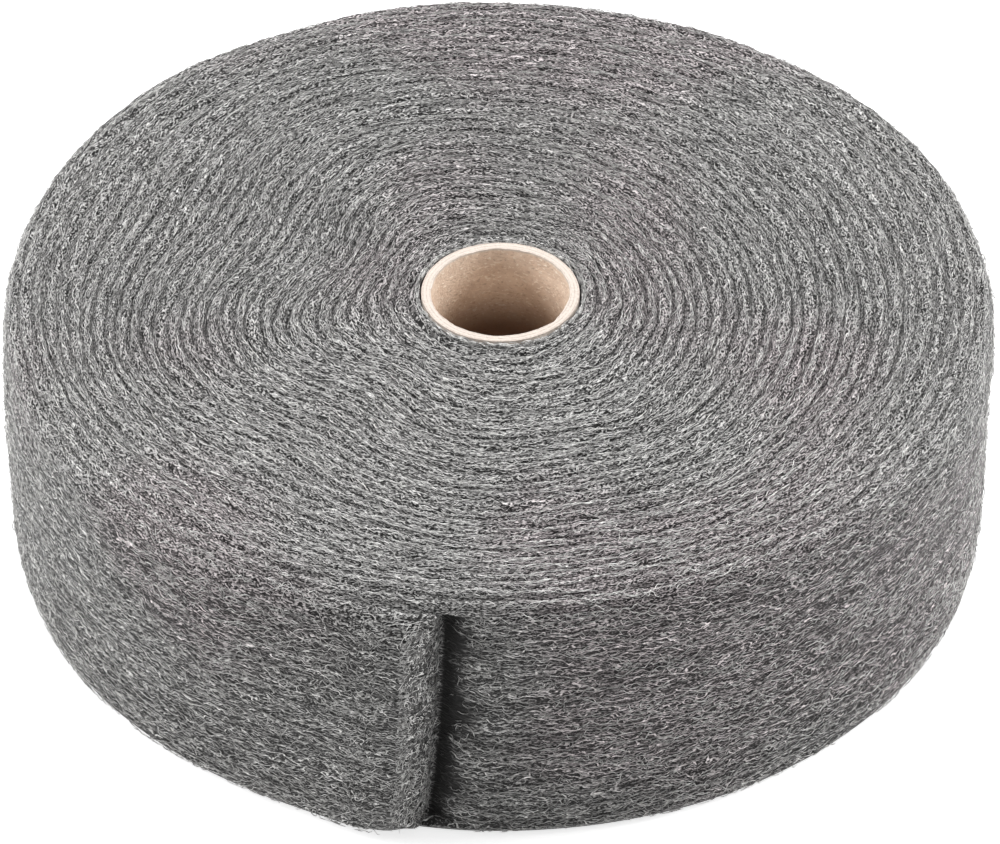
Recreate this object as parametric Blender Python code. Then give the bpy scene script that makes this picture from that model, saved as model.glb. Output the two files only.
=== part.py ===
"""A reel of steel wool: one long ribbon wound on a cardboard tube, standing on its end.

Metres, +Z up. The origin is on the tube's axis, at the surface that the reel stands on.
Angles go round the axis from the front (-Y) by way of the right (+X).
"""

import math
from collections import namedtuple

import bmesh
import bpy
from mathutils import Matrix, Vector, noise

# Cardboard tube
CORE_OUTER_RADIUS = 0.0254
CORE_WALL = 0.0032
CORE_PROUD = 0.0015  # the tube ends this far above the wool
CORE_EDGE_ROUNDING = 0.0005
CORE_FACETS = 48

# Ribbon of steel wool
RIBBON_WIDTH = 0.0985
RIBBON_THICKNESS = 0.0043
TURNS = 31
CORE_CLEARANCE = 0.0004  # between the tube and the first turn
SWEEP_STEPS = 40

# Edges of the turns, seen on the two ends of the roll
GROOVE_DEPTH = 0.0019  # between one turn's edge and the next
EDGE_UNEVENNESS = 0.0011  # how far a turn's edge stands above or below its neighbours
UNEVEN_PER_TURN = 0.8  # how fast that changes from turn to turn, and round one turn
UNEVEN_ROUND = 2.5
STRAY = 0.0012  # how far a turn wanders in and out between its neighbours
STRAY_PER_TURN = 0.9  # how fast it does so from turn to turn, and round one turn
STRAY_ROUND = 3.0
RIM_DROP_TOP = 0.0055  # how far the outermost turn sags below the rest
RIM_DROP_FOOT = 0.0015
RIM_DROP_REACH = 0.004  # the sag fades inwards over this length
SIDE_BULGE = 0.0014  # the outside swells between its two edges
SIDE_LEAN = 0.004  # the foot is drawn in this far, which fades inwards over the reach
SIDE_LEAN_REACH = 0.03
SIDE_LUMPS = 0.0009  # the outside swells and sinks this far, in soft lumps
LUMPS_ROUND = 3.0  # how fast it does so round the roll, and up it
LUMPS_UP = 2.5
SIDE_LEVELS = (0.05, 0.2, 0.4, 0.6, 0.8, 0.95)  # rows up the outside, as parts of its height

# Soft corners and flats of the winding: place and spread in degrees, rise in metres
INNER_CORNERS = (
    (33.0, 22.0, 0.0045),
    (120.0, 40.0, -0.005),
    (205.0, 22.0, 0.0055),
    (248.0, 18.0, -0.0065),
    (284.0, 18.0, 0.0065),
    (320.0, 14.0, -0.0055),
    (355.0, 14.0, 0.004),
)
OUTER_CORNERS = (
    (95.0, 30.0, 0.0008),
    (135.0, 30.0, 0.002),
    (180.0, 30.0, 0.0012),
    (225.0, 30.0, 0.0033),
)
CORNERS_BEGIN = 0.3  # the winding is round inside this part of its depth
OUTER_CORNERS_BEGIN = 0.6  # from here out the one set gives way to the other

# Free end of the ribbon
END_ANGLE_TOP = math.radians(-7.5)
END_ANGLE_FOOT = math.radians(-9.8)
END_CUT_SLANT = math.radians(3.5)  # the cut runs back this far from its inner edge to its outer edge
FLAP_LENGTH = 0.060  # the stretch that has come loose from the roll
FLAP_LIFT_TOP = 0.003
FLAP_LIFT_FOOT = 0.0043
HOLLOW_DEPTH = 0.004  # the turn under the free end is drawn in beside it
HOLLOW_LENGTH = 0.02

BORE_RADIUS = CORE_OUTER_RADIUS + CORE_CLEARANCE
ROLL_RADIUS = BORE_RADIUS + TURNS * RIBBON_THICKNESS
WELD_DISTANCE = 0.00001
SHARP_ANGLE = math.radians(30.0)

# One corner of the roll's section. turn counts turns out from the bore, level is 0 on the
# roll's foot and 1 on its top, and crest is 1 on the edge of a turn and 0 between two turns.
Corner = namedtuple("Corner", "turn level crest")


def make_material(name, colour, roughness, metallic):
    material = bpy.data.materials.new(name)
    material.use_nodes = True
    shader = material.node_tree.nodes["Principled BSDF"]
    shader.inputs["Base Color"].default_value = (*colour, 1.0)
    shader.inputs["Roughness"].default_value = roughness
    shader.inputs["Metallic"].default_value = metallic
    return material


def add_object(name, bm, material):
    mesh = bpy.data.meshes.new(name)
    bmesh.ops.recalc_face_normals(bm, faces=bm.faces[:])
    bm.to_mesh(mesh)
    bm.free()
    mesh.materials.append(material)
    mesh.shade_smooth()
    mesh.set_sharp_from_angle(angle=SHARP_ANGLE)
    piece = bpy.data.objects.new(name, mesh)
    bpy.context.collection.objects.link(piece)
    return piece


def make_core_tube(material):
    """The tube's wall, spun round the axis, with its cut edges slightly rounded."""
    bm = bmesh.new()
    length = RIBBON_WIDTH + CORE_PROUD
    foot = bm.verts.new((CORE_OUTER_RADIUS - CORE_WALL, 0.0, 0.0))
    across = bmesh.ops.extrude_vert_indiv(bm, verts=[foot])
    bmesh.ops.translate(bm, verts=across["verts"], vec=(CORE_WALL, 0.0, 0.0))
    wall = bmesh.ops.extrude_edge_only(bm, edges=across["edges"])
    top = [item for item in wall["geom"] if isinstance(item, bmesh.types.BMVert)]
    bmesh.ops.translate(bm, verts=top, vec=(0.0, 0.0, length))
    bmesh.ops.bevel(
        bm,
        geom=bm.verts[:],
        offset=CORE_EDGE_ROUNDING,
        affect="VERTICES",
        segments=1,
        profile=0.5,
        material=-1,
    )
    section = bm.edges[:]
    bmesh.ops.delete(bm, geom=bm.faces[:], context="FACES_ONLY")
    bmesh.ops.spin(
        bm,
        geom=section,
        axis=(0.0, 0.0, 1.0),
        cent=(0.0, 0.0, 0.0),
        angle=math.tau,
        steps=CORE_FACETS,
        use_merge=True,
    )
    return add_object("core_tube", bm, material)


def roll_section():
    """The corners of the roll's section, up the bore, out over the top, down and back in."""
    out = []
    for turn in range(TURNS):
        out.append((turn, 0.0))
        out.append((turn + 0.5, 1.0))
    top = [Corner(turn, 1.0, crest) for turn, crest in out]
    side = [Corner(TURNS, level, 0.0) for level in (1.0, *reversed(SIDE_LEVELS), 0.0)]
    foot = [Corner(turn, 0.0, crest) for turn, crest in reversed(out)]
    return top + side + foot


def smooth(value):
    """0 below 0, 1 above 1, and an even ramp between them."""
    value = min(max(value, 0.0), 1.0)
    return value * value * (3.0 - 2.0 * value)


def rise_of(corners, angle):
    """The sum of a set of corners' soft bumps at this angle."""
    rise = 0.0
    for place, spread, height in corners:
        away = (math.degrees(angle) - place + 180.0) % 360.0 - 180.0
        rise += height * math.exp(-((away / spread) ** 2))
    return rise


def soft_corner(angle, depth):
    """How far the winding stands out at this angle. depth is 0 at the bore and 1 at the rim."""
    inner = smooth(depth / CORNERS_BEGIN)
    outer = smooth((depth - OUTER_CORNERS_BEGIN) / (1.0 - OUTER_CORNERS_BEGIN))
    return inner * (1.0 - outer) * rise_of(INNER_CORNERS, angle) + outer * rise_of(OUTER_CORNERS, angle)


def wound_place(corner, swept):
    """Where a corner of the section lies once the sweep has gone this part of the way round."""
    turn = max(0.0, corner.turn + swept - 1.0)
    radius = BORE_RADIUS + turn * RIBBON_THICKNESS
    groove = GROOVE_DEPTH * (1.0 - corner.crest) * min(1.0, turn)
    round_angle = math.tau * swept

    # Heights of the top and the foot over this place
    inwards = BORE_RADIUS + (TURNS - 0.5) * RIBBON_THICKNESS - radius
    sag = math.exp(-inwards / RIM_DROP_REACH)
    along = (UNEVEN_ROUND * math.cos(round_angle), UNEVEN_ROUND * math.sin(round_angle))
    uneven = EDGE_UNEVENNESS * noise.noise(Vector((UNEVEN_PER_TURN * turn, *along)))
    top = RIBBON_WIDTH - RIM_DROP_TOP * sag - groove + uneven * min(1.0, turn)
    foot = RIM_DROP_FOOT * sag + groove
    height = foot + corner.level * (top - foot)
    radius -= SIDE_LEAN * (1.0 - corner.level) * smooth(1.0 - inwards / SIDE_LEAN_REACH)

    # The free end lifts off the roll, its cut slants back, and the turn below is drawn in
    down = 1.0 - height / RIBBON_WIDTH
    angle = END_ANGLE_TOP + (END_ANGLE_FOOT - END_ANGLE_TOP) * down * down + round_angle
    outermost = max(0.0, corner.turn - (TURNS - 1))
    to_end = (1.0 - swept) * math.tau * ROLL_RADIUS
    loose = outermost * smooth(1.0 - to_end / FLAP_LENGTH)
    radius += loose * (FLAP_LIFT_FOOT + (FLAP_LIFT_TOP - FLAP_LIFT_FOOT) * corner.level)
    angle -= END_CUT_SLANT * loose**3
    if 0.0 < corner.level < 1.0:
        from_end = swept * math.tau * ROLL_RADIUS
        radius += SIDE_BULGE * min(1.0, 8.0 * corner.level * (1.0 - corner.level))
        around = (LUMPS_ROUND * math.cos(angle), LUMPS_ROUND * math.sin(angle))
        radius += SIDE_LUMPS * noise.noise(Vector((*around, LUMPS_UP * corner.level)))
        radius -= HOLLOW_DEPTH * smooth(1.0 - from_end / HOLLOW_LENGTH)

    # Between the core and the rim, the turns wander and go round soft corners
    along = (STRAY_ROUND * math.cos(round_angle), STRAY_ROUND * math.sin(round_angle))
    stray = STRAY * noise.noise(Vector((*along, STRAY_PER_TURN * turn)))
    stray *= smooth(turn / 2.0) * smooth((TURNS - 1.0 - turn) / 2.0)
    depth = (radius - BORE_RADIUS) / (ROLL_RADIUS - BORE_RADIUS)
    radius += stray + soft_corner(angle, depth)
    return Vector((radius * math.sin(angle), -radius * math.cos(angle), height))


def make_steel_wool_roll(material):
    """The section swept once round the axis, while each turn creeps out by one thickness.

    The last place of a turn is then the first place of the next turn, where the two are
    welded. Only the outermost turn is left open there, and its end is closed with a face.
    """
    corners = roll_section()
    bm = bmesh.new()
    corner_of = bm.verts.layers.int.new("corner")
    step_of = bm.verts.layers.int.new("step")
    ring = []
    for number, corner in enumerate(corners):
        radius = BORE_RADIUS + corner.turn * RIBBON_THICKNESS
        vert = bm.verts.new((radius, 0.0, corner.level * RIBBON_WIDTH))
        vert[corner_of] = number
        ring.append(vert)
    edges = [bm.edges.new((one, ring[number - 1])) for number, one in enumerate(ring)]

    turn_by_one = Matrix.Rotation(math.tau / SWEEP_STEPS, 3, "Z")
    for step in range(1, SWEEP_STEPS + 1):
        swept = bmesh.ops.extrude_edge_only(bm, edges=edges)["geom"]
        verts = [item for item in swept if isinstance(item, bmesh.types.BMVert)]
        edges = [item for item in swept if isinstance(item, bmesh.types.BMEdge)]
        bmesh.ops.rotate(bm, verts=verts, cent=(0.0, 0.0, 0.0), matrix=turn_by_one)
        for vert in verts:
            vert[step_of] = step

    for vert in bm.verts:
        vert.co = wound_place(corners[vert[corner_of]], vert[step_of] / SWEEP_STEPS)
    bmesh.ops.remove_doubles(bm, verts=bm.verts[:], dist=WELD_DISTANCE)

    cut_end = [edge for edge in bm.edges if edge.is_boundary]
    filled = bmesh.ops.edgeloop_fill(bm, edges=cut_end)
    bmesh.ops.triangulate(bm, faces=filled["faces"], ngon_method="BEAUTY")
    return add_object("steel_wool_roll", bm, material)


for old in list(bpy.data.objects):
    bpy.data.objects.remove(old, do_unlink=True)

make_core_tube(make_material("kraft_cardboard", (0.62, 0.45, 0.31), 0.85, 0.0))
make_steel_wool_roll(make_material("steel_wool", (0.23, 0.22, 0.22), 0.5, 0.8))
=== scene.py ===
import math

import bmesh
import bpy
import numpy as np
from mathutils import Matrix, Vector, noise


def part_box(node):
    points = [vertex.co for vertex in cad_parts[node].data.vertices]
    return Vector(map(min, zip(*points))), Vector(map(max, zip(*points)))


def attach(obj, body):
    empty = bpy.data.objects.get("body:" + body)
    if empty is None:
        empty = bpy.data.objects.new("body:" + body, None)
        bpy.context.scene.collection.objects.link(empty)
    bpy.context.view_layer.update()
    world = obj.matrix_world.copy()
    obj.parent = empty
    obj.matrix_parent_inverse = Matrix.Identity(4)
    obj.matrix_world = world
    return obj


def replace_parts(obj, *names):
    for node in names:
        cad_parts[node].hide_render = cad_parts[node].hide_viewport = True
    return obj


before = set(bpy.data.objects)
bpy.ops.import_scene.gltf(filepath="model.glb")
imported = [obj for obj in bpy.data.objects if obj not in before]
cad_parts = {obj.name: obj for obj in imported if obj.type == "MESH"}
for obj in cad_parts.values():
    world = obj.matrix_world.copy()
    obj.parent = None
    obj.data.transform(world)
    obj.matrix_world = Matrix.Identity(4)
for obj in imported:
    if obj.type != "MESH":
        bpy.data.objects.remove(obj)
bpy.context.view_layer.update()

# Core tube. Cardboard wound from thin plies of kraft paper and cut to length, so each end
# shows the pale edges of the plies and is a little rough along its inner edge.
_, tube_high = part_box("core_tube")
TUBE_RADIUS = tube_high.x
TUBE_WALL = 0.0032
TUBE_TOP = tube_high.z
TUBE_EDGE = 0.0005  # the wall's first and last rows stand this far from its ends
TUBE_STEPS = 200
TUBE_ROWS = 12
PLY_EDGES = 3  # rings of paper edges that show on the cut end
PLY_GROOVE = 0.00006
TUBE_DENTS = 0.0005  # how far the cut end's inner edge is pushed in and out
DENTS_DOWN = 0.003  # the dents fade over this depth, and over this part of the wall
DENTS_ACROSS = 0.0012
END_SOFTNESS = 0.0001  # how far the cut end sinks in places
END_LOOK = (0.0012, 0.0003)  # between these depths the wall's look gives way to the end's
OUTSIDE_LOOK = (0.0004, 0.0001)  # and between these, to the outside's
OUTER_PLY = 0.0007  # the end is dark over this width along its outer edge
BORE_DARKENS = (0.010, 0.034)  # between these depths the bore, mostly its far wall, is painted into shade
KRAFT = (0.90, 0.74, 0.60, 1.0)
KRAFT_DARK = (0.72, 0.56, 0.44, 1.0)
KRAFT_PALE = (1.0, 0.90, 0.78, 1.0)
KRAFT_SPECK = (0.36, 0.24, 0.17, 1.0)
KRAFT_SHADED = (0.12, 0.07, 0.045, 1.0)
CUT_PAPER = (0.69, 0.61, 0.545, 1.0)
CUT_PAPER_DARK = (0.42, 0.33, 0.28, 1.0)


class Wire:
    """One socket of a material's nodes, in expressions that add its Math nodes."""

    def __init__(self, socket):
        self.socket = socket
        self.tree = socket.id_data

    def node(self, kind, settings, inputs, output=0):
        """Adds a node, sets it, then fills or links its sockets, and gives one output."""
        made = self.tree.nodes.new("ShaderNode" + kind)
        for name, value in settings.items():
            setattr(made, name, value)
        for name, value in inputs.items():
            if isinstance(value, Wire):
                self.tree.links.new(value.socket, made.inputs[name])
            else:
                made.inputs[name].default_value = value
        return Wire(made.outputs[output])

    def maths(self, operation, *values):
        return self.node("Math", {"operation": operation}, dict(enumerate(values)))

    def __add__(self, other):
        return self.maths("ADD", self, other)

    def __sub__(self, other):
        return self.maths("SUBTRACT", self, other)

    def __rsub__(self, other):
        return self.maths("SUBTRACT", other, self)

    def __mul__(self, other):
        return self.maths("MULTIPLY", self, other)

    def __truediv__(self, other):
        return self.maths("DIVIDE", self, other)

    def __pow__(self, other):
        return self.maths("POWER", self, other)

    def __abs__(self):
        return self.maths("ABSOLUTE", self)

    __radd__ = __add__
    __rmul__ = __mul__

    def ramp(self, low, high):
        """0 at low, 1 at high and smooth between them."""
        return self.node("MapRange", {"interpolation_type": "SMOOTHSTEP"},
                         {"Value": self, "From Min": low, "From Max": high})

    def mixed(self, first, second):
        """The first colour where this is 0, and the second where it is 1."""
        return self.node("Mix", {"data_type": "RGBA"}, {0: self, 6: first, 7: second}, 2)

    def scaled(self, *scale):
        return self.node("VectorMath", {"operation": "MULTIPLY"}, {0: self, 1: scale})

    def moved(self, *offset):
        return self.node("VectorMath", {"operation": "ADD"}, {0: self, 1: offset})

    def axes(self):
        return [self.node("SeparateXYZ", {}, {0: self}, axis) for axis in range(3)]

    def grain(self, scale, detail=2.0, roughness=0.5):
        return self.node("TexNoise", {}, {"Vector": self, "Scale": scale, "Detail": detail,
                                          "Roughness": roughness})


def new_material(name):
    """A material with a Principled shader, and its Object coordinates to start from."""
    material = bpy.data.materials.new(name)
    material.use_nodes = True
    shader = material.node_tree.nodes["Principled BSDF"]
    place = Wire(material.node_tree.nodes.new("ShaderNodeTexCoord").outputs["Object"])
    return material, shader, place


def feed(shader, **inputs):
    """Links or fills the shader's sockets. An underscore in a name stands for a space."""
    for name, value in inputs.items():
        socket = shader.inputs[name.replace("_", " ")]
        if isinstance(value, Wire):
            value.tree.links.new(value.socket, socket)
        else:
            socket.default_value = value


def bumped(place, height, distance):
    return place.node("Bump", {}, {"Strength": 1.0, "Distance": distance, "Height": height})


def new_piece(name, mesh, material):
    """Links a finished mesh as a piece of the reel, riding on its only body."""
    mesh.materials.clear()
    mesh.materials.append(material)
    piece = bpy.data.objects.new(name, mesh)
    bpy.context.scene.collection.objects.link(piece)
    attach(piece, "root")
    return piece


def cardboard():
    material, shader, place = new_material("kraft_cardboard")
    x, y, z = place.axes()
    radius = (x * x + y * y) ** 0.5
    fibres = place.scaled(1.0, 1.0, 2.6).grain(900.0, 3.0, 0.6)
    blotches = place.scaled(1.0, 1.0, 1.6).grain(140.0, 4.0, 0.6)
    specks = place.scaled(1.0, 1.0, 1.8).grain(800.0, 1.0)
    wall = blotches.ramp(0.25, 0.8).mixed(KRAFT_DARK, KRAFT)
    wall = (specks.ramp(0.60, 0.70) * 0.8).mixed(wall, KRAFT_PALE)
    wall = (specks.ramp(0.38, 0.30) * 0.4).mixed(wall, KRAFT_SPECK)
    # Painted shade: the bore's far wall darkens with depth
    bore_shade = z.ramp(*(TUBE_TOP - depth for depth in BORE_DARKENS))
    bore_shade = bore_shade * y.ramp(-0.6 * TUBE_RADIUS, 0.9 * TUBE_RADIUS)
    wall = bore_shade.mixed(wall, KRAFT_SHADED)
    on_end = z.ramp(*(TUBE_TOP - depth for depth in END_LOOK))
    outside = radius.ramp(*(TUBE_RADIUS - depth for depth in OUTSIDE_LOOK))
    wall = (outside * 0.85).mixed(wall, CUT_PAPER)
    plies = radius * (math.tau * PLY_EDGES / TUBE_WALL)
    plies = plies.maths("SINE", plies).ramp(0.3, 1.0)
    plies = plies.maths("MAXIMUM", plies, radius.ramp(TUBE_RADIUS - OUTER_PLY, TUBE_RADIUS))
    paper = (plies * fibres.ramp(0.30, 0.60) * 0.6).mixed(CUT_PAPER, CUT_PAPER_DARK)
    feed(shader, Base_Color=on_end.mixed(wall, paper), Roughness=fibres * 0.2 + 0.75,
         Specular_IOR_Level=0.2, Normal=bumped(place, fibres * 0.5 + specks * 0.8, 0.0004))
    return material


def make_tube():
    """Spins the wall's section round, with its ends in rings, then dents the inner edge."""
    inner = TUBE_RADIUS - TUBE_WALL
    rows = [TUBE_EDGE + (TUBE_TOP - 2 * TUBE_EDGE) * n / TUBE_ROWS for n in range(TUBE_ROWS + 1)]
    rings = 4 * PLY_EDGES
    ring = [TUBE_WALL * (n + 0.5) / rings for n in range(rings)]
    outline = [(TUBE_RADIUS, height) for height in rows]
    outline += [(TUBE_RADIUS - across, TUBE_TOP - PLY_GROOVE * (n % 2))
                for n, across in enumerate(ring)]
    outline += [(inner, height) for height in reversed(rows)]
    outline += [(inner + across, 0.0) for across in ring]
    bm = bmesh.new()
    points = [bm.verts.new((radius, 0.0, height)) for radius, height in outline]
    sides = [bm.edges.new((point, points[n - 1])) for n, point in enumerate(points)]
    bmesh.ops.spin(bm, geom=sides, axis=(0, 0, 1), cent=(0, 0, 0), angle=math.tau,
                   steps=TUBE_STEPS, use_merge=True)
    for vert in bm.verts:
        radius = math.hypot(vert.co.x, vert.co.y)
        near_top = max(0.0, 1.0 - (TUBE_TOP - vert.co.z) / DENTS_DOWN)
        near_bore = max(0.0, 1.0 - (radius - inner) / DENTS_ACROSS)
        dent = noise.noise(vert.co * 160.0) + 0.5 * noise.noise(vert.co * 500.0)
        push = 1.0 + near_top * near_bore * TUBE_DENTS * dent / radius
        vert.co.x *= push
        vert.co.y *= push
        vert.co.z -= near_top * END_SOFTNESS * (1.0 + noise.noise(vert.co * 300.0))
    bmesh.ops.recalc_face_normals(bm, faces=bm.faces[:])
    mesh = bpy.data.meshes.new("cardboard_core")
    bm.to_mesh(mesh)
    bm.free()
    mesh.shade_smooth()
    mesh.set_sharp_from_angle(angle=math.radians(50.0))
    return mesh


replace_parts(new_piece("cardboard_core", make_tube(), cardboard()), "core_tube")

# Roll of ribbon. One long ribbon of fine steel wires, carded into a flat web and wound round
# the core under light tension, each turn lying on the last, with soft corners where it sags.
CORE_CLEARANCE = 0.0004  # between the tube and the first turn
BORE_RADIUS = TUBE_RADIUS + CORE_CLEARANCE
RIBBON_WIDTH = 0.0985
RIBBON_THICKNESS = 0.0043
TURNS = 31
ROLL_RADIUS = BORE_RADIUS + TURNS * RIBBON_THICKNESS
GROOVE_DEPTH = 0.0019  # between one turn's edge and the next
EDGE_UNEVENNESS = 0.0011  # how far a turn's edge stands above or below its neighbours
UNEVEN_PER_TURN = 0.8  # how fast that changes from turn to turn, and round one turn
UNEVEN_ROUND = 2.5
STRAY = 0.0012  # how far a turn wanders in and out between its neighbours
STRAY_PER_TURN = 0.9
STRAY_ROUND = 3.0
RIM_DROP_TOP = 0.0055  # how far the outermost turn sags below the rest
RIM_DROP_FOOT = 0.0015
RIM_DROP_REACH = 0.004  # the sag fades inwards over this length
SIDE_BULGE = 0.0014  # the outside swells between its two edges
SIDE_LUMPS = 0.0009  # and swells and sinks this far, in soft lumps
LUMPS_ROUND = 3.0
LUMPS_UP = 2.5
SIDE_LEAN = 0.004  # the foot is drawn in this far, which fades inwards over the reach
SIDE_LEAN_REACH = 0.03

# Soft corners and flats of the winding: place and spread in degrees, rise in metres
INNER_CORNERS = (
    (33.0, 22.0, 0.0045),
    (120.0, 40.0, -0.005),
    (205.0, 22.0, 0.0055),
    (248.0, 18.0, -0.0065),
    (284.0, 18.0, 0.0065),
    (320.0, 14.0, -0.0055),
    (355.0, 14.0, 0.004),
)
OUTER_CORNERS = (
    (95.0, 30.0, 0.0008),
    (135.0, 30.0, 0.002),
    (180.0, 30.0, 0.0012),
    (225.0, 30.0, 0.0033),
)
INNER_CORNERS_BEGIN = 0.3  # the winding is round inside this part of its depth
OUTER_CORNERS_BEGIN = 0.6  # from here out the one set gives way to the other

# Free end of the ribbon, and the turn under it
END_ANGLE_TOP = math.radians(-7.5)
END_ANGLE_FOOT = math.radians(-9.8)
END_CUT_SLANT = math.radians(3.5)  # the cut runs back this far from its inner to its outer edge
FLAP_LENGTH = 0.060  # the stretch that has come loose from the roll
FLAP_LIFT_TOP = 0.003
FLAP_LIFT_FOOT = 0.0043
HOLLOW_DEPTH = 0.004  # the turn under the free end is drawn in beside it
HOLLOW_LENGTH = 0.02
CREVICE_DEPTH = 0.003  # and a little more right beside the cut
CREVICE_LENGTH = 0.009
SHADED_LENGTH = 0.015  # it is painted in shadow this far out from the cut, with a ragged soft edge
SHADED_EDGE = 0.008
SHADED_RAGGED = 0.006
CUT_BEAD = 0.0030  # how far the cut end swells past its own edges
CUT_LUMPS = 0.35  # and how uneven it is, as a part of that
BEAD_LEANS = (25.0, 50.0, 70.0, 82.0)  # the rings that close it, in degrees round the bead
# The cut's open edge is painted with a little shade, as in a crease
CUT_EDGE_SHADE = 0.15
CUT_CORNER = 0.006  # how far its lower corner is rounded up
CUT_CORNER_REACH = 0.015  # how high that reaches on the cut, and on the skin behind it
SKIN_CORNER_REACH = 0.012

# Skin of the web: rows of strands, tufts, a fringe at the foot, and turns that sway
STRAND_RELIEF = 0.0005
TUFT_RELIEF = 0.0003
TOP_TUFT_RELIEF = 0.0007
FRINGE_RELIEF = 0.0006
SWAY = 0.0006
RAGGED_CUT = 0.006  # how far the cut's edge strays, in radians round the roll
ROUND_STEPS = 380
TURN_PROFILE = (0.0, 0.2, 0.5, 0.8)  # columns across the top edge of each turn
SIDE_ROWS = 40
WELD_DISTANCE = 0.00001

# Map for baking, a square in metres: the top and the foot side by side, the side's two halves
# in rows above them, and the cut end to the right of those
BAKE_REACH = 0.166  # half the width of what the top, or the foot, takes up
BAKE_SQUARE = 4.0 * BAKE_REACH
BAKE_ROW = 0.11
BAKE_RADIUS = 0.15  # metres of a row for each radian round the side
BAKE_MARGIN = 0.2  # radians that are kept free where a row begins
BAKE_CUT = (0.82, 0.53)  # the cut end's place, as parts of the square

# Look of the wool
SIDE_BLEND = 0.004  # the top's look gives way to the side's over twice this length
CORE_SHADE = (0.0016, 0.0006)  # between these distances the skin is painted in shade beside the core
WOOL_GREY = (0.17, 0.167, 0.164, 1.0)
WOOL_SHADE = (0.10, 0.098, 0.096, 1.0)
WOOL_DARK = (0.012, 0.0117, 0.0114, 1.0)
WOOL_LIGHT = (0.66, 0.652, 0.64, 1.0)
WOOL_SIDE_LIGHT = (1.0, 0.99, 0.97, 1.0)
PINKISH = (1.0, 0.925, 0.95, 1.0)

# Painted strands: the distance between two, and their slant, wave and shift
FINE_STROKES = ((0.0014, -0.06, 2.0, 3.1), (0.0017, 0.08, 2.2, 7.7))
COARSE_STROKES = ((0.0024, 0.20, 2.2, 0.0), (0.0028, -0.24, 2.2, 5.3))
STROKE_EDGE = (0.00027, 0.00011)  # a painted strand fades in between these distances
BESIDE_EDGE = (0.00027, 0.00010)  # and so does the painted shadow line that lies this far beside it
BESIDE_STROKE = 0.00046
CURL_SCALES = (360.0, 520.0, 700.0)  # of the curls that show on the cut end


def smooth(value):
    value = np.clip(value, 0.0, 1.0)
    return value * value * (3.0 - 2.0 * value)


def rough(x, y, z):
    """Smooth noise at each of the places given by three arrays, from about -1 to 1."""
    places = np.broadcast_arrays(x, y, z)
    found = [noise.noise(place) for place in zip(*(axis.ravel().tolist() for axis in places))]
    return np.array(found).reshape(places[0].shape)


def rise_of(corners, angle):
    """The sum of a set of corners' soft bumps at these angles."""
    rise = np.zeros_like(angle)
    for place, spread, height in corners:
        away = (np.degrees(angle) - place + 180.0) % 360.0 - 180.0
        rise += height * np.exp(-((away / spread) ** 2))
    return rise


def winding(turn, level, crest, swept):
    """Radius, angle and height on the roll's skin, for arrays of turns and angles.

    turn counts turns out from the core, level is 0 on the foot and 1 on the top, crest is 1
    on the edge of a turn and 0 between two, and swept is 0 to 1 round to the free end.
    """
    wound = np.maximum(0.0, turn + swept - 1.0)
    radius = BORE_RADIUS + wound * RIBBON_THICKNESS
    groove = GROOVE_DEPTH * (1.0 - crest) * np.minimum(1.0, wound)
    around = math.tau * swept
    inwards = BORE_RADIUS + (TURNS - 0.5) * RIBBON_THICKNESS - radius
    sag = np.exp(-inwards / RIM_DROP_REACH)
    uneven = rough(UNEVEN_PER_TURN * wound, UNEVEN_ROUND * np.cos(around),
                   UNEVEN_ROUND * np.sin(around))
    top = RIBBON_WIDTH - RIM_DROP_TOP * sag - groove
    top = top + EDGE_UNEVENNESS * uneven * np.minimum(1.0, wound)
    foot = RIM_DROP_FOOT * sag + groove
    height = foot + level * (top - foot)
    radius = radius - SIDE_LEAN * (1.0 - level) * smooth(1.0 - inwards / SIDE_LEAN_REACH)
    down = 1.0 - height / RIBBON_WIDTH
    angle = END_ANGLE_TOP + (END_ANGLE_FOOT - END_ANGLE_TOP) * down**2 + around
    outermost = np.maximum(0.0, turn - (TURNS - 1))
    loose = outermost * smooth(1.0 - (1.0 - swept) * math.tau * ROLL_RADIUS / FLAP_LENGTH)
    radius = radius + loose * (FLAP_LIFT_FOOT + (FLAP_LIFT_TOP - FLAP_LIFT_FOOT) * level)
    angle = angle - END_CUT_SLANT * loose**3
    on_side = (level > 0.0) & (level < 1.0)
    bulge = SIDE_BULGE * np.minimum(1.0, 8.0 * level * (1.0 - level))
    hollow = HOLLOW_DEPTH * smooth(1.0 - swept * math.tau * ROLL_RADIUS / HOLLOW_LENGTH)
    crevice = CREVICE_DEPTH * smooth(1.0 - swept * math.tau * ROLL_RADIUS / CREVICE_LENGTH)
    lumps = rough(LUMPS_ROUND * np.cos(angle), LUMPS_ROUND * np.sin(angle), LUMPS_UP * level)
    radius = radius + on_side * (bulge - hollow - crevice + SIDE_LUMPS * lumps)
    stray = STRAY * rough(STRAY_ROUND * np.cos(around), STRAY_ROUND * np.sin(around),
                          STRAY_PER_TURN * wound)
    stray = stray * smooth(wound / 2.0) * smooth((TURNS - 1.0 - wound) / 2.0)
    depth = (radius - BORE_RADIUS) / (ROLL_RADIUS - BORE_RADIUS)
    radius = radius + stray
    inner = smooth(depth / INNER_CORNERS_BEGIN)
    outer = smooth((depth - OUTER_CORNERS_BEGIN) / (1.0 - OUTER_CORNERS_BEGIN))
    radius = radius + inner * (1.0 - outer) * rise_of(INNER_CORNERS, angle)
    radius = radius + outer * rise_of(OUTER_CORNERS, angle)
    return radius, angle, height


def placed(radius, angle, height):
    return np.stack([radius * np.sin(angle), -radius * np.cos(angle), height], axis=-1)


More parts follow.
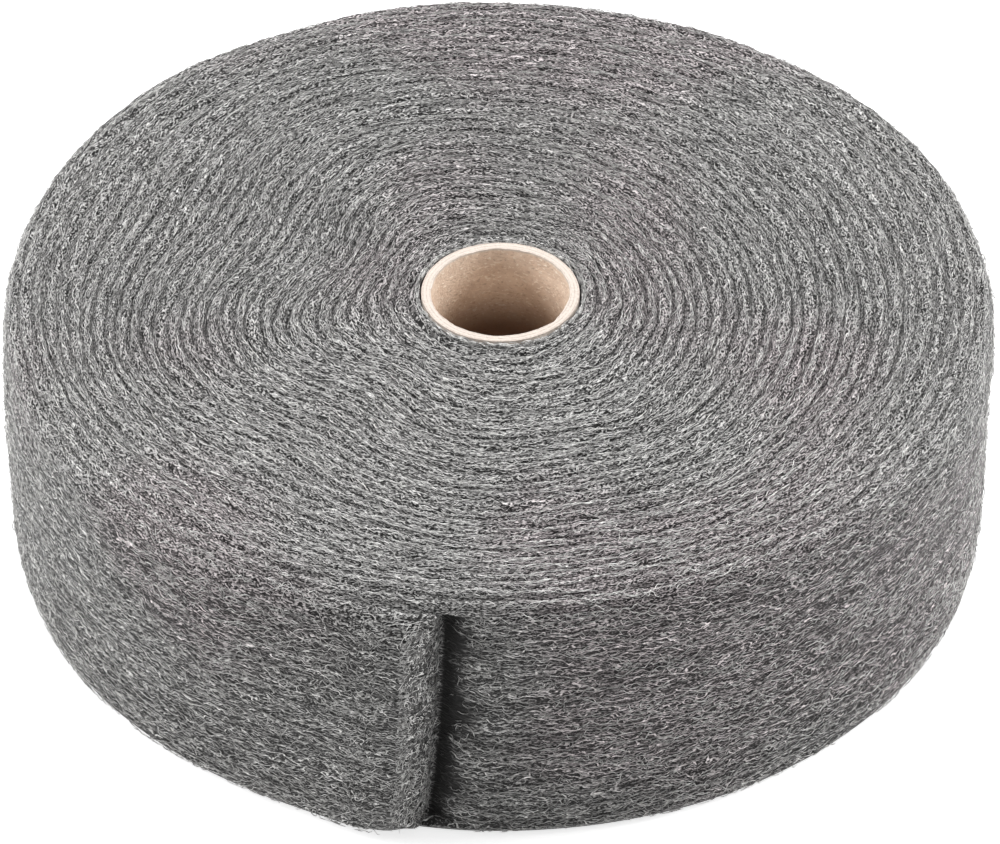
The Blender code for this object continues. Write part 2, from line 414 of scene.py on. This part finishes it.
# The section that the roll is swept with, as columns of turn, level and crest, up the bore,
# out over the top, down the outside and back in under the foot
edge = [(turn + part, 1.0 - abs(2.0 * part - 1.0) ** 2.5) for turn in range(TURNS)
        for part in TURN_PROFILE]
under = [(turn + part, 2.0 * part) for turn in range(TURNS) for part in (0.0, 0.5)]
section = [(turn, 1.0, crest) for turn, crest in edge]
section += [(TURNS, level, 0.0) for level in np.linspace(1.0, 0.0, SIDE_ROWS + 1)]
section += [(turn, 0.0, crest) for turn, crest in reversed(under)]
section.append(section[0])
section = np.array(section)
halfway = winding(*section.T, np.full(len(section), 0.5))
across = np.zeros(len(section))
across[1:] = np.cumsum(np.hypot(np.diff(halfway[0]), np.diff(halfway[2])))
SIDE_BEGINS = across[len(edge)]
SIDE_ENDS = across[len(edge) + SIDE_ROWS]


def spread_out(columns, x, y, z, angle):
    """The roll's map for baking: its top, foot and two halves of its side, laid out flat."""
    first = columns.min(axis=1).repeat(4)
    half = angle.reshape(-1, 4).mean(axis=1).repeat(4) > math.pi
    top = np.stack([x + BAKE_REACH, y + BAKE_REACH], axis=-1)
    foot = top + [2.0 * BAKE_REACH, 0.0]
    side = np.stack([(angle - math.pi * half + BAKE_MARGIN) * BAKE_RADIUS,
                     z + 2.05 * BAKE_REACH + BAKE_ROW * half], axis=-1)
    on_foot = (first >= len(edge) + SIDE_ROWS)[:, None]
    flat = np.where((first < len(edge))[:, None], top, np.where(on_foot, foot, side))
    return flat / BAKE_SQUARE


def wool_sheet():
    """A flat grid, one column for each line along the ribbon, rolled up and welded."""
    columns = len(section) - 1
    bm = bmesh.new()
    bmesh.ops.create_grid(bm, x_segments=columns, y_segments=ROUND_STEPS, size=0.5)
    mesh = bpy.data.meshes.new("wool_roll")
    bm.to_mesh(mesh)
    bm.free()
    flat = np.empty(len(mesh.vertices) * 3)
    mesh.vertices.foreach_get("co", flat)
    flat = flat.reshape(-1, 3) + 0.5
    column = np.rint(flat[:, 0] * columns).astype(int)
    swept = np.rint(flat[:, 1] * ROUND_STEPS) / ROUND_STEPS
    turn, level, crest = section[column].T
    radius, angle, height = winding(turn, level, crest, swept)

    # Strands and tufts that stand out of the skin, and turns that sway in and out
    on_side = (level > 0.0) & (level < 1.0)
    x, y, z = placed(radius, angle, height).T
    tufts = rough(x * 210.0, y * 210.0, z * 210.0) + 0.7 * rough(x * 520.0, y * 520.0, z * 520.0)
    strands = rough(9.0 * np.cos(angle), 9.0 * np.sin(angle), height * 330.0)
    strands += 0.7 * rough(22.0 * np.cos(angle), 22.0 * np.sin(angle), height * 620.0 + 9.0)
    wound = np.maximum(0.0, turn + swept - 1.0)
    sway = rough(12.0 * np.cos(angle), 12.0 * np.sin(angle), 1.5 * wound)
    inside = np.clip(wound / 2.0, 0.0, 1.0) * np.clip((TURNS - 1.0 - wound) / 2.0, 0.0, 1.0)
    fade = np.minimum(1.0, 8.0 * swept) * np.minimum(1.0, 8.0 * (1.0 - swept))
    fringe = FRINGE_RELIEF * smooth(1.0 - 8.0 * level) * rough(x * 480.0, y * 480.0, z * 480.0)
    radius = radius + on_side * (STRAND_RELIEF * strands + TUFT_RELIEF * tufts + fringe) * fade
    radius = radius + SWAY * sway * inside
    height = height + (level == 1.0) * TOP_TUFT_RELIEF * tufts * np.minimum(1.0, wound)

    # The cut's lower corner is rounded up, and its edge is ragged
    near_cut = (turn > TURNS - 1) * smooth((swept - 0.985) / 0.015)
    height = height + CUT_CORNER * 0.5 * near_cut**2 * smooth(1.0 - height / SKIN_CORNER_REACH)
    ragged = rough(height * 90.0, 0.3, 0.7) + 0.6 * rough(height * 260.0, 1.3, 2.7)
    angle = angle + RAGGED_CUT * ragged * (turn > TURNS - 1) * smooth((swept - 0.975) / 0.02)
    mesh.vertices.foreach_set("co", placed(radius, angle, height).ravel())

    # The ribbon's own coordinates: metres along it, and metres across its skin
    corner = np.empty(len(mesh.loops), int)
    mesh.loops.foreach_get("vertex_index", corner)
    number = np.floor(turn[corner].reshape(-1, 4).mean(axis=1)).clip(0, TURNS - 1).repeat(4)
    reach = BORE_RADIUS + number * RIBBON_THICKNESS
    along = math.tau * (BORE_RADIUS * number + RIBBON_THICKNESS * number**2 / 2.0)
    along = along + math.tau * swept[corner] * reach
    side = np.where(turn[corner] < 1.0, radius[corner] - BORE_RADIUS, across[column[corner]])
    uv = np.stack([along, side], axis=-1)
    mesh.uv_layers.new(name="ribbon").uv.foreach_set("vector", uv.ravel())
    spread = spread_out(column[corner].reshape(-1, 4), x[corner], y[corner], z[corner], angle[corner])
    mesh.uv_layers.new(name="OFBake").uv.foreach_set("vector", spread.ravel())

    # For the look: painted shade in the gaps between two turns, which fades where they are packed
    # tight near the rim and at the free end, and painted shadow on the stretch beside the cut
    gap = mesh.attributes.new("gap", "FLOAT", "POINT")
    packed = 1.0 - 0.35 * smooth((turn - 0.7 * TURNS) / 5.0)
    packed = packed * (1.0 - (turn > TURNS - 1.5) * smooth((swept - 0.9) / 0.08))
    gap.data.foreach_set("value", (1.0 - crest) * (level == 1.0) * (turn > 0.0) * packed)
    # Painted shadow on the stretch beside the cut
    shade = mesh.attributes.new("shade", "FLOAT", "POINT")
    from_cut = swept * math.tau * ROLL_RADIUS
    from_cut = from_cut - SHADED_RAGGED * rough(height * 110.0, swept * 40.0, 0.4)
    shade.data.foreach_set("value", on_side * smooth((SHADED_LENGTH - from_cut) / SHADED_EDGE))
    mesh.attributes.new("bead", "FLOAT", "POINT")

    bm = bmesh.new()
    bm.from_mesh(mesh)
    bmesh.ops.remove_doubles(bm, verts=bm.verts[:], dist=WELD_DISTANCE)
    close_cut_end(bm)
    bmesh.ops.recalc_face_normals(bm, faces=bm.faces[:])
    bm.to_mesh(mesh)
    bm.free()
    mesh.shade_smooth()
    return mesh


def cut_face(height):
    """The cut end's inner and outer edge at a height, and the way out of its face."""
    level = np.array([min(max(height / RIBBON_WIDTH, 0.02), 0.98)])
    swept = np.array([0.0, 1.0])
    inner, outer = placed(*winding(np.full(2, float(TURNS)), level.repeat(2), np.zeros(2), swept))
    run = Vector(inner - outer)
    return Vector(inner), Vector(outer), Vector((run.y, -run.x, 0.0)).normalized()


def close_cut_end(bm):
    """Closes the ribbon's cut end with a swollen bead, drawn in from its open edge in rings."""
    known = set(bm.faces)
    bead = bm.verts.layers.float["bead"]
    shade = bm.verts.layers.float["shade"]
    start = bm.verts.layers.float_vector.new("start")
    edges = [edge for edge in bm.edges if edge.is_boundary]
    # Its open edge keeps a little painted shade
    for edge in edges:
        for vert in edge.verts:
            vert[start] = vert.co
            vert[shade] = CUT_EDGE_SHADE
    for lean in map(math.radians, BEAD_LEANS):
        grown = bmesh.ops.extrude_edge_only(bm, edges=edges)["geom"]
        edges = [item for item in grown if isinstance(item, bmesh.types.BMEdge)]
        for vert in (item for item in grown if isinstance(item, bmesh.types.BMVert)):
            first = vert[start].copy()
            inner, outer, out = cut_face(first.z)
            middle = (inner + outer) / 2
            middle.z = 0.96 * first.z + 0.04 * RIBBON_WIDTH / 2
            middle.z += CUT_CORNER * max(0.0, 1.0 - first.z / CUT_CORNER_REACH) ** 2
            lump = CUT_LUMPS * noise.noise(first * 400.0) * math.sin(lean)
            vert.co = middle + (first - middle) * math.cos(lean)
            vert.co += out * (CUT_BEAD * (math.sin(lean) + lump))
            vert[bead] = math.sin(lean)
            vert[shade] = 0.0
    filled = bmesh.ops.edgeloop_fill(bm, edges=edges)
    bmesh.ops.triangulate(bm, faces=filled["faces"], ngon_method="BEAUTY")
    bm.verts.layers.float_vector.remove(bm.verts.layers.float_vector["start"])
    ribbon = bm.loops.layers.uv["ribbon"]
    spread = bm.loops.layers.uv["OFBake"]
    for face in set(bm.faces) - known:
        for loop in face.loops:
            place = loop.vert.co
            from_edge = (place - cut_face(place.z)[1]).xy.length
            loop[ribbon].uv = (from_edge, place.z)
            loop[spread].uv = (BAKE_CUT[0] + from_edge, BAKE_CUT[1] + place.z / BAKE_SQUARE)


def tinted(place, colour):
    """Gives large soft patches of the wool a pinkish cast."""
    patches = place.grain(9.0, 1.0).ramp(0.46, 0.62)
    cast = patches.mixed((1.0, 1.0, 1.0, 1.0), PINKISH)
    return place.node("Mix", {"data_type": "RGBA", "blend_type": "MULTIPLY"},
                      {0: 1.0, 6: colour, 7: cast}, 2)


def strokes(ribbon, gap, lean, curl, shift):
    """Broken wavy lines along the ribbon, and the painted shadow beside them, each from 0 to 1.

    gap is the distance between two lines, lean how they slant, and curl how much they wave.
    """
    moved = ribbon.moved(shift, 1.7 * shift, 0.0)
    x, y, _ = moved.axes()
    bend = moved.scaled(0.55 / gap, 0.7 / gap, 1.0).grain(1.0, 1.5) - 0.5
    slow = moved.scaled(60.0, 0.2 / gap, 1.0).grain(1.0, 0.0) - 0.5
    phase = (y + x * lean) / gap + bend * curl + slow * 4.0
    phase = phase.maths("FRACT", phase)
    here = moved.scaled(0.33 / gap, 1.2 / gap, 1.0).grain(1.0, 0.0)
    line = (abs(phase - 0.5) * gap).ramp(*STROKE_EDGE) * here.ramp(0.47, 0.50)
    dark = (abs(phase - 0.5 - BESIDE_STROKE / gap) * gap).ramp(*BESIDE_EDGE) * here.ramp(0.44, 0.48)
    return line, dark


def wool():
    material, shader, place = new_material("steel_wool_web")
    ribbon = place.node("UVMap", {"uv_map": "ribbon"}, {})
    gap, cut_shadow, bead = (place.node("Attribute", {"attribute_name": name}, {}, "Fac")
                         for name in ("gap", "shade", "bead"))
    on_side = ribbon.axes()[1].ramp(SIDE_BEGINS - SIDE_BLEND, SIDE_BEGINS + SIDE_BLEND)

    # Painted strands, each with a painted shadow beside it, over a grey ground
    fine = [strokes(ribbon, *settings) for settings in FINE_STROKES]
    coarse = [strokes(ribbon, *settings) for settings in COARSE_STROKES]
    bright, dark = (fine[0][n].maths("MAXIMUM", fine[0][n], fine[1][n]) for n in range(2))
    bright = bright * (1.0 - on_side * 0.4)
    for line, beside in coarse:
        dark = dark.maths("MAXIMUM", dark * (1.0 - line), beside)
        bright = bright.maths("MAXIMUM", bright * (1.0 - beside * 0.8), line * (on_side * 0.4 + 0.6))
    shade = ribbon.scaled(400.0, 900.0, 1.0).grain(1.0, 1.0, 0.6)
    ground = shade.ramp(0.25, 0.75).mixed(WOOL_SHADE, WOOL_GREY)
    ground = (on_side * 0.75).mixed(ground, WOOL_DARK)
    ground = (dark * 0.95).mixed(ground, WOOL_DARK)

    # Painted shade in the gaps between two turns, and dark streaks and rows that run along the ribbon
    broken = ribbon.scaled(30.0, 160.0, 1.0).grain(1.0, 1.0)
    wobble = ribbon.scaled(130.0, 300.0, 1.0).grain(1.0, 1.0) - 0.5
    between = (wobble * 0.9 + gap).ramp(0.58, 0.92) * broken.ramp(0.32, 0.46)
    ground = (between * 0.95).mixed(ground, WOOL_DARK)
    streaks = ribbon.scaled(60.0, 700.0, 1.0).grain(1.0, 1.0, 0.55).ramp(0.56, 0.62)
    rows = ribbon.scaled(15.0, 300.0, 1.0).grain(1.0, 2.0, 0.6).ramp(0.50, 0.60) * on_side
    streaks = streaks.maths("MAXIMUM", streaks, rows)
    ground = (streaks * 0.9).mixed(ground, WOOL_DARK)
    bright = bright * (shade.ramp(0.3, 0.6) * 0.4 + 0.6)
    bright = bright * (1.0 - streaks * 0.4) * (1.0 - rows * 0.3) * (1.0 - between * 0.8)
    lines = on_side.mixed(WOOL_LIGHT, WOOL_SIDE_LIGHT)
    colour = bright.mixed(ground, lines)

    # The finest dark bits, painted glints as the finest bright bits, and painted shade beside the
    # core
    specks = ribbon.scaled(1000.0, 2700.0, 1.0).grain(1.0, 1.0)
    dark_bits = specks.ramp(0.48, 0.35) * (0.95 - on_side * 0.35)
    glints = specks.ramp(0.56, 0.66) * (0.80 - on_side * 0.55)
    colour = glints.mixed(dark_bits.mixed(colour, WOOL_DARK), lines)
    beside_core = ribbon.axes()[1].ramp(*CORE_SHADE)
    colour = (beside_core * 0.8).mixed(colour, WOOL_DARK)

    # The cut end's bead shows short curls that point every way, then the painted shadow by the cut
    fuzz = place.grain(700.0, 2.0).ramp(0.35, 0.65).mixed(WOOL_SHADE, WOOL_GREY)
    for scale in CURL_SCALES:
        curl = place.grain(scale, 0.5)
        part = place.grain(0.6 * scale, 0.0).ramp(0.44, 0.54)
        fuzz = (abs(curl - 0.44).ramp(0.045, 0.010) * 0.9).mixed(fuzz, WOOL_DARK)
        fuzz = (abs(curl - 0.51).ramp(0.040, 0.010) * part).mixed(fuzz, WOOL_SIDE_LIGHT)
    bead = (bead + place.grain(260.0, 2.0) - 0.5).ramp(0.35, 0.75)
    colour = bead.mixed(colour, fuzz)
    colour = (cut_shadow * 0.95).mixed(tinted(place, colour), WOOL_DARK)
    relief = fine[0][0] + coarse[0][0] + shade * 0.5
    feed(shader, Base_Color=colour, Roughness=0.5, Metallic=0.25, Specular_IOR_Level=0.15,
         Normal=bumped(place, relief, 0.0004))
    return material


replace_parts(new_piece("wool_roll", wool_sheet(), wool()), "steel_wool_roll")

# Loose wires. The web is shaved from the edge of a steel bundle, so its wires are long, curled
# and three-sided. They lie mostly along the ribbon, and curls of them stand out of its skin.
WIRE_POINTS = 10
WIRE_STEP = 0.00125
WIRE_SIDES = 3
WIRE_RADIUS = 0.00012
SIDE_WIRE_RADIUS = 0.00016
WIRE_WELD = 0.000002
WIRE_WAVES = ((0.011, 0.8), (0.0045, 1.0))  # length and strength of a long and a short curl
WIRE_DARK = (0.26, 0.256, 0.252, 1.0)
WIRE_BRIGHT = (0.92, 0.91, 0.89, 1.0)
RIM_BLEND = (0.006, 0.012)  # between these depths below the rim wires are painted in shade a little
CREST_PULL = 0.4  # how far wires on the top are drawn to the middle of their turn
LAID = (-0.0003, 0.0005)  # a wire's middle lies between these heights over the skin
SUNK = 0.0004  # and its curls sink no further than this, and rise no further than that
RAISED = 0.0012
LEAST_HEIGHT = 0.0003  # above the floor, for a wire's own thickness
CUT_WIRE_POINTS = 7
CUT_WIRE_STEP = 0.0008
CUT_WIRE_RADII = (0.00007, 0.00013)
CUT_WIRES_FROM = 0.006  # the foot of the cut end, and its rim, are left free of wires
CUT_WIRES_TO = RIBBON_WIDTH - 0.005
CUT_WIRES_LEAST = 0.0015  # no curl of theirs hangs lower than this
CORE_WIRE_POINTS = 7
CORE_WIRE_STEP = 0.0009
CORE_WIRE_RADII = (0.00009, 0.00015)


def wire_outline():
    """The closed three-sided outline that every wire is swept with."""
    curve = bpy.data.curves.new("wire_outline", "CURVE")
    spline = curve.splines.new("POLY")
    spline.points.add(WIRE_SIDES - 1)
    for number, point in enumerate(spline.points):
        angle = math.tau * number / WIRE_SIDES
        point.co = (math.cos(angle), math.sin(angle), 0.0, 1.0)
    spline.use_cyclic_u = True
    outline = bpy.data.objects.new("wire_outline", curve)
    bpy.context.scene.collection.objects.link(outline)
    return outline


def make_wires(name, places, thickness, material):
    """Sweeps one piece of wires along rows of places, each pinched to a point at its ends."""
    curve = bpy.data.curves.new(name, "CURVE")
    curve.dimensions = "3D"
    curve.bevel_mode = "OBJECT"
    curve.bevel_object = wire_outline()
    count, points = places.shape[:2]
    pinch = np.ones(points)
    pinch[0] = pinch[-1] = 0.0
    four = np.concatenate([places, np.ones((count, points, 1))], axis=-1)
    for row, radius in zip(four, thickness):
        spline = curve.splines.new("POLY")
        spline.points.add(points - 1)
        spline.points.foreach_set("co", row.ravel())
        spline.points.foreach_set("radius", pinch * radius)
    swept = bpy.data.objects.new(name + "_lines", curve)
    bpy.context.scene.collection.objects.link(swept)
    graph = bpy.context.evaluated_depsgraph_get()
    mesh = bpy.data.meshes.new_from_object(swept.evaluated_get(graph))
    mesh.name = name
    corner = np.empty(len(mesh.loops), int)
    mesh.loops.foreach_get("vertex_index", corner)
    wire, place = np.divmod(corner, points * WIRE_SIDES)
    ring, side = np.divmod(place, WIRE_SIDES)
    grid = math.ceil(math.sqrt(count))
    map_x = (wire % grid + (ring + 0.5) / points) / grid
    map_y = (wire // grid + (side + 0.5) / WIRE_SIDES) / grid
    spread = np.stack([map_x, map_y], axis=-1)
    mesh.uv_layers.new(name="OFBake").uv.foreach_set("vector", spread.ravel())
    bpy.data.objects.remove(curve.bevel_object)
    bpy.data.objects.remove(swept)
    bm = bmesh.new()
    bm.from_mesh(mesh)
    bmesh.ops.remove_doubles(bm, verts=bm.verts[:], dist=WIRE_WELD)
    bmesh.ops.recalc_face_normals(bm, faces=bm.faces[:])
    bm.to_mesh(mesh)
    bm.free()
    mesh.shade_smooth()
    return new_piece(name, mesh, material)


def bright_wire():
    material, shader, place = new_material("steel_wire")
    shade = place.grain(600.0, 2.0).ramp(0.3, 0.7)
    colour = shade.mixed(WIRE_DARK, WIRE_BRIGHT)
    # Painted shade on the wires below the rim
    side_shade = place.axes()[2].ramp(*(RIBBON_WIDTH - depth for depth in RIM_BLEND))
    colour = (side_shade * 0.1).mixed(colour, WOOL_DARK)
    feed(shader, Base_Color=colour, Roughness=0.36, Metallic=0.4)
    return material


def curls(draw, count, lean, turn, points=WIRE_POINTS, step=WIRE_STEP):
    """Paths of curled wires about their middles: metres along the ribbon, and across it."""
    heading = draw.normal(0.0, lean, (count, 1))
    run = np.arange(points)[None, :] * step
    for wave, size in WIRE_WAVES:
        pitch = wave * draw.uniform(0.7, 1.5, (count, 1))
        size = size * turn * draw.normal(0.0, 1.0, (count, 1))
        begin = draw.uniform(0.0, math.tau, (count, 1))
        heading = heading + size * np.sin(math.tau * run / pitch + begin)
    along = np.cumsum(np.cos(heading), axis=1) * step
    side = np.cumsum(np.sin(heading), axis=1) * step
    return along - along.mean(axis=1, keepdims=True), side - side.mean(axis=1, keepdims=True)


def lay_wires(name, count, begins, ends, seed, lean=0.25, turn=0.6, thick=WIRE_RADIUS):
    """Lays a piece of wires over the part of the roll's skin between two places across it."""
    draw = np.random.default_rng(seed)
    share = np.cumsum(np.gradient(across) * halfway[0])
    low, high = np.interp([begins, ends], across, share)
    middle = np.interp(draw.uniform(low, high, count), share, across)

    # Wires on the top gather on the crests of the turns
    on_top = slice(0, len(edge))
    turn_at = np.interp(middle, across[on_top], section[on_top, 0])
    turn_at = turn_at + CREST_PULL * (0.5 - turn_at % 1.0)
    crested = np.interp(turn_at, section[on_top, 0], across[on_top])
    middle = np.where(middle < SIDE_BEGINS, crested, middle)
    along, side = curls(draw, count, lean, turn)
    _, rise = curls(draw, count, 0.0, 0.22)
    over = np.clip(middle[:, None] + side, begins, ends)
    turns, level, crest = (np.interp(over, across, values) for values in section.T)
    crest = 1.0 - 0.45 * (1.0 - crest)
    along = along / (math.tau * np.interp(over, across, halfway[0]))

    # A wire runs over the seam between two turns, but not past the ribbon's cut end
    start = draw.uniform(0.0, 1.0, (count, 1))
    first = along.min(axis=1, keepdims=True) - CREVICE_LENGTH / 2 / (math.tau * ROLL_RADIUS)
    room = 1.0 + first - along.max(axis=1, keepdims=True)
    near_rim = turns.max(axis=1, keepdims=True) > TURNS - 2
    swept = np.where(near_rim, start * room - first, start) + along
    within = np.clip(swept, 0.0, 1.0)
    radius, angle, height = winding(turns, level, crest, within)
    angle = angle + math.tau * (swept - within)

    # It stands out of the top or the side, and less so towards the foot
    out = np.clip(rise + draw.uniform(*LAID, (count, 1)), -SUNK, RAISED)
    out = out * smooth(0.3 + (SIDE_ENDS - over) / 0.015)
    on_side = smooth((over - SIDE_BEGINS + SIDE_BLEND) / (2.0 * SIDE_BLEND))
    on_side = on_side * smooth((SIDE_ENDS + 0.002 - over) / 0.004)
    radius = np.maximum(radius + out * on_side, BORE_RADIUS + 0.0001)
    height = height + out * (1.0 - on_side) * np.where(level > 0.5, 1.0, -0.3)
    places = placed(radius, angle, np.maximum(height, LEAST_HEIGHT))
    make_wires(name, places, thick * draw.uniform(0.65, 1.15, count), wire_finish)


def cut_wires(name, count, seed):
    """Short curls that stand out of the cut end, each way, from its outer to its inner edge."""
    draw = np.random.default_rng(seed)
    along, side = curls(draw, count, 2.0, 0.9, points=CUT_WIRE_POINTS, step=CUT_WIRE_STEP)
    places = np.empty((count, CUT_WIRE_POINTS, 3))
    for wire in range(count):
        height = draw.uniform(CUT_WIRES_FROM, CUT_WIRES_TO)
        inner, outer, out = cut_face(height)
        round_bead = draw.uniform(0.08, 1.0) * math.pi
        middle = (inner + outer) / 2
        base = middle + (outer - middle) * math.cos(round_bead)
        base += out * (CUT_BEAD * math.sin(round_bead))
        base.z = height
        run = (inner - outer).normalized()
        rise = np.linspace(0.0, draw.uniform(0.0002, RAISED), CUT_WIRE_POINTS)
        short = min(1.0, 0.35 + height / 0.02)
        way = out * math.sin(round_bead) - run * math.cos(round_bead)
        places[wire] = np.array(base) + np.outer(short * along[wire], run) + np.outer(rise, way)
        places[wire, :, 2] += short * side[wire]
    places[:, :, 2] = np.clip(places[:, :, 2], CUT_WIRES_LEAST, RIBBON_WIDTH)
    make_wires(name, places, draw.uniform(*CUT_WIRE_RADII, count), wire_finish)


def core_wires(name, count, seed):
    """Curls of the first turn that lie against the tube and stand up along its wall."""
    draw = np.random.default_rng(seed)
    along, side = curls(draw, count, 0.5, 0.9, points=CORE_WIRE_POINTS, step=CORE_WIRE_STEP)
    angle = draw.uniform(0.0, math.tau, (count, 1)) + along / BORE_RADIUS
    out = draw.uniform(0.0001, 0.0016, (count, 1))
    height = RIBBON_WIDTH + draw.uniform(0.0, 0.0013, (count, 1)) + 0.6 * side
    places = placed(BORE_RADIUS + out, angle, np.minimum(height, TUBE_TOP))
    make_wires(name, places, draw.uniform(*CORE_WIRE_RADII, count), wire_finish)


wire_finish = bright_wire()
start_of_top = 0.0008
middle_of_top = SIDE_BEGINS * 0.68
past_rim = SIDE_BEGINS + 0.006
under_rim = SIDE_BEGINS + 0.001
middle_of_side = (SIDE_BEGINS + SIDE_ENDS) / 2
lay_wires("top_wires_inner", 3800, start_of_top, middle_of_top, 11, lean=0.16, turn=0.5)
lay_wires("top_wires_outer", 4000, middle_of_top, past_rim, 12, lean=0.18, turn=0.5)
lay_wires("side_wires_upper", 3950, under_rim, middle_of_side, 21, thick=SIDE_WIRE_RADIUS)
lay_wires("side_wires_lower", 3950, middle_of_side, SIDE_ENDS, 22, thick=SIDE_WIRE_RADIUS)
cut_wires("cut_wires", 420, 31)
core_wires("core_wires", 500, 41)

# Floor and backdrop. A wide sheet of matt white paper. It glows where the camera sees it, so
# that it is white all over and only keeps the reel's soft shadow.
FLOOR_HALF = 6.0
PAPER = (0.70, 0.70, 0.70, 1.0)
PAPER_GLOW = (0.72, 0.72, 0.72, 1.0)
PAPER_UNLIT = (0.0, 0.0, 0.0, 1.0)
bm = bmesh.new()
bmesh.ops.create_grid(bm, x_segments=1, y_segments=1, size=FLOOR_HALF)
floor_mesh = bpy.data.meshes.new("paper_floor")
bm.to_mesh(floor_mesh)
bm.free()
floor = bpy.data.objects.new("paper_floor", floor_mesh)
bpy.context.scene.collection.objects.link(floor)
paper, paper_shader, paper_place = new_material("white_paper")
seen = paper_place.node("LightPath", {}, {}, "Is Camera Ray")
for ray in ("Is Glossy Ray", "Is Transmission Ray"):
    seen = seen.maths("MAXIMUM", seen, paper_place.node("LightPath", {}, {}, ray))
feed(paper_shader, Base_Color=PAPER, Roughness=0.9, Specular_IOR_Level=0.0,
     Emission_Color=seen.mixed(PAPER_UNLIT, PAPER_GLOW), Emission_Strength=1.0)
floor_mesh.materials.append(paper)

# Light. Three broad soft lamps, one at each side and one above and behind, in a dim pale room,
# all turned towards the middle of the reel.
ROOM = (0.40, 0.40, 0.40, 1.0)
LAMP_POWER = 23.0
REEL_MIDDLE = Vector((0.0, 0.0, 0.05))
world = bpy.data.worlds.new("pale_room")
world.use_nodes = True
world.node_tree.nodes["Background"].inputs["Color"].default_value = ROOM
bpy.context.scene.world = world


def soft_lamp(name, place, size):
    lamp = bpy.data.lights.new(name, "AREA")
    lamp.shape = "DISK"
    lamp.size = size
    lamp.energy = LAMP_POWER
    holder = bpy.data.objects.new(name, lamp)
    holder.location = place
    towards = REEL_MIDDLE - Vector(place)
    holder.rotation_euler = towards.to_track_quat("-Z", "Y").to_euler()
    bpy.context.scene.collection.objects.link(holder)


soft_lamp("lamp_left", (-1.7, 0.0, 0.9), 0.9)
soft_lamp("lamp_right", (1.7, 0.1, 0.9), 0.9)
soft_lamp("lamp_above", (0.0, 0.9, 1.6), 1.0)

# Camera. A long lens far back, looking down on the reel as the photograph does.
CAMERA_ELEVATION = math.radians(39.06)
CAMERA_DISTANCE = 5.98
CAMERA_AIM = Vector((-0.00013, 0.0, 0.0463))
CAMERA_LENS = 669.3  # millimetres, on a sensor of this width
CAMERA_SENSOR = 36.0
camera_data = bpy.data.cameras.new("camera")
camera_data.lens = CAMERA_LENS
camera_data.sensor_width = CAMERA_SENSOR
camera = bpy.data.objects.new("camera", camera_data)
away = Vector((0.0, -math.cos(CAMERA_ELEVATION), math.sin(CAMERA_ELEVATION)))
camera.location = CAMERA_AIM + away * CAMERA_DISTANCE
camera.rotation_euler = away.to_track_quat("Z", "Y").to_euler()
bpy.context.scene.collection.objects.link(camera)
bpy.context.scene.camera = camera
bpy.context.scene.view_settings.view_transform = "Standard"
